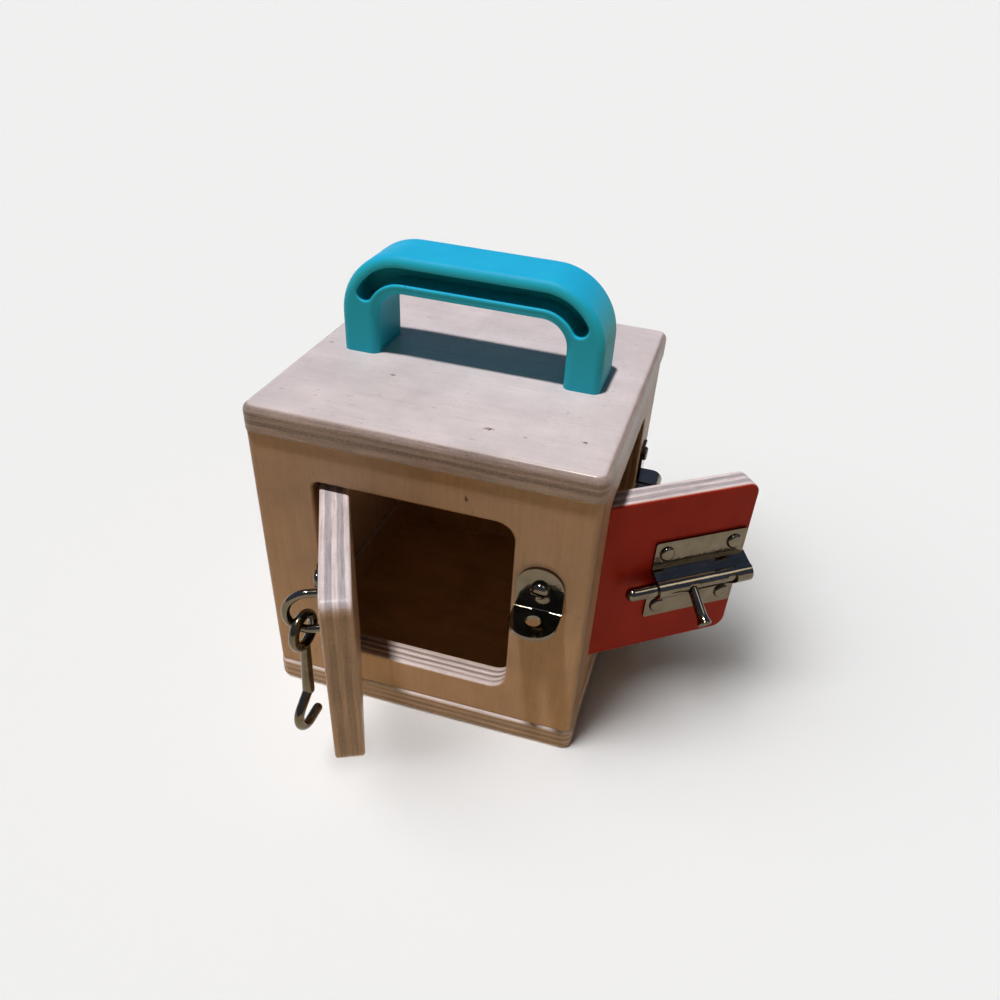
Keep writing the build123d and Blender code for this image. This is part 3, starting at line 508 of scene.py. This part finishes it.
# spots in mm; on the front door 42 mm along it, 7.5 mm out of its middle and 85.5 mm up
catch_spots = [Vector((53.7, -75.8, 94.15))]
button_spots = [Vector((-78.1, -48.5, 75.5))]
keeper_spots = pair(Vector((75.5, 54.0, 73.5)), 18.5)
knob_spots = pair(Vector((-55.35, 75.2, 75.5)), 14.5)
hasp_spots = pair(Vector((-21.1, 75.5, 75.5)), 9.0)
pivot, along, out = leaf_ways["front"]
staple_spots = pair(pivot + along * 42.0 + out * 7.5 + UP * 85.5, 16.4)
set_screws("hook_catch_screw", "carcass", tall, catch_spots, FRONT, -10)
set_screws("turn_button_screw", "carcass", stout, button_spots, -RIGHT, 25)
set_screws("keeper_screws", "carcass", low, keeper_spots, RIGHT, 40)
set_screws("knob_plate_screws", "carcass", low, knob_spots, -FRONT, 15)
set_screws("hasp_screws", "back_door", low, hasp_spots, -FRONT, 70)
set_screws("staple_screws", "front_door", low, staple_spots, out, 30)
for pattern in (tall, stout, low):
    bpy.data.objects.remove(pattern)


PAPER = "#F0F0F0"  # floor and backdrop as the camera sees them
FLOOR_SIZE = 80.0  # m
NEAR_BOARDS, FAR_BOARDS = (0.96, 0.72, 0.33, 1), (0.5, 0.37, 0.22, 1)
NEAR, FAR = 0.16, 0.42  # m from the middle of the box


# Floor: pale where it is looked at, and warm brown boards, lighter near the box, where it throws
# light back at it.
def floor():
    bpy.ops.object.select_all(action="DESELECT")
    bpy.ops.mesh.primitive_plane_add(size=FLOOR_SIZE, location=(0, 0, 0))
    ground = bpy.context.object
    ground.name = "floor"
    material, tree = new_material("pale_floor")
    path = add(tree, "LightPath").outputs
    direct = {0: path["Is Camera Ray"], 1: path["Is Glossy Ray"]}
    seen = add(tree, "Math", direct, operation="ADD").outputs[0]
    through = {0: seen, 1: path["Is Transmission Ray"]}
    shown = add(tree, "Math", through, operation="ADD", use_clamp=True).outputs[0]
    spot = add(tree, "TexCoord").outputs["Object"]
    gap = add(tree, "VectorMath", {0: spot}, operation="LENGTH").outputs["Value"]
    away = add(tree, "MapRange", {"Value": gap, "From Min": NEAR, "From Max": FAR}).outputs[0]
    tone = NEAR_BOARDS
    for cover, over in ((away, FAR_BOARDS), (shown, linear(PAPER))):
        laid = {"Factor": cover, UNDER: tone, OVER: over}
        tone = add(tree, "Mix", laid, data_type="RGBA").outputs[MIXED]
    surface(tree, {"Base Color": tone, "Roughness": 1.0, "Specular IOR Level": 0.0})
    ground.data.materials.append(material)
    return ground


def sun(name, way, angle, level, lit, state):
    """A far lamp with an angular size, and the one thing that it lights or leaves out."""
    lamp = bpy.data.lights.new(name, "SUN")
    lamp.angle = math.radians(angle)
    lamp.energy = math.pi * level
    placed = bpy.data.objects.new(name, lamp)
    placed.rotation_euler = way.to_track_quat("Z", "Y").to_euler()
    bpy.context.scene.collection.objects.link(placed)
    group = bpy.data.collections.new(f"{name}_reach")
    group.objects.link(lit)
    placed.light_linking.receiver_collection = group
    group.collection_objects[0].light_linking.link_state = state
    return placed


# Lamps: one high over the box, a little to the front and left, and two broad soft ones for the
# floor, one of them past the front leaf
ground = floor()
sun("lamp", Vector((-0.13, -0.14, 1.0)), 4.6, 1.0, ground, "EXCLUDE")
sun("floor_glow", Vector((-0.62, -0.38, 1.0)), 58.0, 0.42, ground, "INCLUDE")
floor_lamp = sun("floor_lamp", Vector((-0.44, -0.38, 1.0)), 32.0, 0.71, ground, "INCLUDE")
passed = bpy.data.collections.new("floor_lamp_passes")
passed.objects.link(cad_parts["front_door"])
floor_lamp.light_linking.blocker_collection = passed
passed.collection_objects[0].light_linking.link_state = "EXCLUDE"

DIM = (0.05, 0.046, 0.042, 1)
CEILING = [(0.0, PAPER), (0.04, "#D8D8DA"), (0.14, "#5F6C8C"), (0.5, "#647AA8"), (1.0, "#4C608E")]
SOFT_BOX = (3.2, 3.2, 3.2, 1)
SOFT_BOX_WAY = (0.6, 0.0, 0.8)
SOFT_BOX_RIM, SOFT_BOX_CORE = 0.984, 0.996  # cosines of the angle from its middle


# Room: pale behind the box, dim for the light that it gives, and where metal mirrors it a blue
# ceiling with one bright soft box.
def light_room():
    world = bpy.data.worlds.new("room")
    bpy.context.scene.world = world
    world.use_nodes = True
    tree = world.node_tree
    tree.nodes.clear()
    path = add(tree, "LightPath").outputs
    rays = {0: path["Is Glossy Ray"], 1: path["Is Transmission Ray"]}
    mirrored = add(tree, "Math", rays, operation="ADD", use_clamp=True).outputs[0]
    way = add(tree, "TexCoord").outputs["Generated"]
    height = add(tree, "SeparateXYZ", {"Vector": way}).outputs["Z"]
    ceiling = add(tree, "ValToRGB", {"Fac": height}, stops=CEILING).outputs["Color"]
    aimed = {0: way, 1: SOFT_BOX_WAY}
    aim = add(tree, "VectorMath", aimed, operation="DOT_PRODUCT").outputs["Value"]
    rim = {"Value": aim, "From Min": SOFT_BOX_RIM, "From Max": SOFT_BOX_CORE}
    bright = add(tree, "MapRange", rim).outputs[0]
    box = add(tree, "Math", {0: bright, 1: mirrored}, operation="MULTIPLY").outputs[0]
    behind = path["Is Camera Ray"]
    tone = DIM
    for cover, over in ((mirrored, ceiling), (box, SOFT_BOX), (behind, linear(PAPER))):
        laid = {"Factor": cover, UNDER: tone, OVER: over}
        tone = add(tree, "Mix", laid, data_type="RGBA").outputs[MIXED]
    glow = add(tree, "Background", {"Color": tone, "Strength": 1.0})
    add(tree, "OutputWorld", {"Surface": glow.outputs[0]})


light_room()

# Camera: in front, a little to the right, looking down on the box, rolled as the picture is
CAMERA_SPOT = Vector((106.0, -330.8, 309.0)) * MM
azimuth, elevation, roll = math.radians(13.273), math.radians(38.431), math.radians(4.63)
flat = math.cos(elevation)
back = Vector((math.sin(azimuth) * flat, -math.cos(azimuth) * flat, math.sin(elevation)))
level = UP.cross(back).normalized()
rise = back.cross(level)
side_way = level * math.cos(roll) + rise * math.sin(roll)
up_way = rise * math.cos(roll) - level * math.sin(roll)
lens = bpy.data.cameras.new("camera")
lens.sensor_fit = "HORIZONTAL"
lens.sensor_width = 36.0
lens.lens = 29.84
lens.shift_x = -0.02243
lens.shift_y = 0.07215
lens.clip_start = 0.01
camera = bpy.data.objects.new("camera", lens)
stand = Matrix((side_way, up_way, back)).transposed().to_4x4()
camera.matrix_world = Matrix.Translation(CAMERA_SPOT) @ stand
bpy.context.scene.collection.objects.link(camera)
bpy.context.scene.camera = camera
bpy.context.scene.view_settings.view_transform = "Standard"
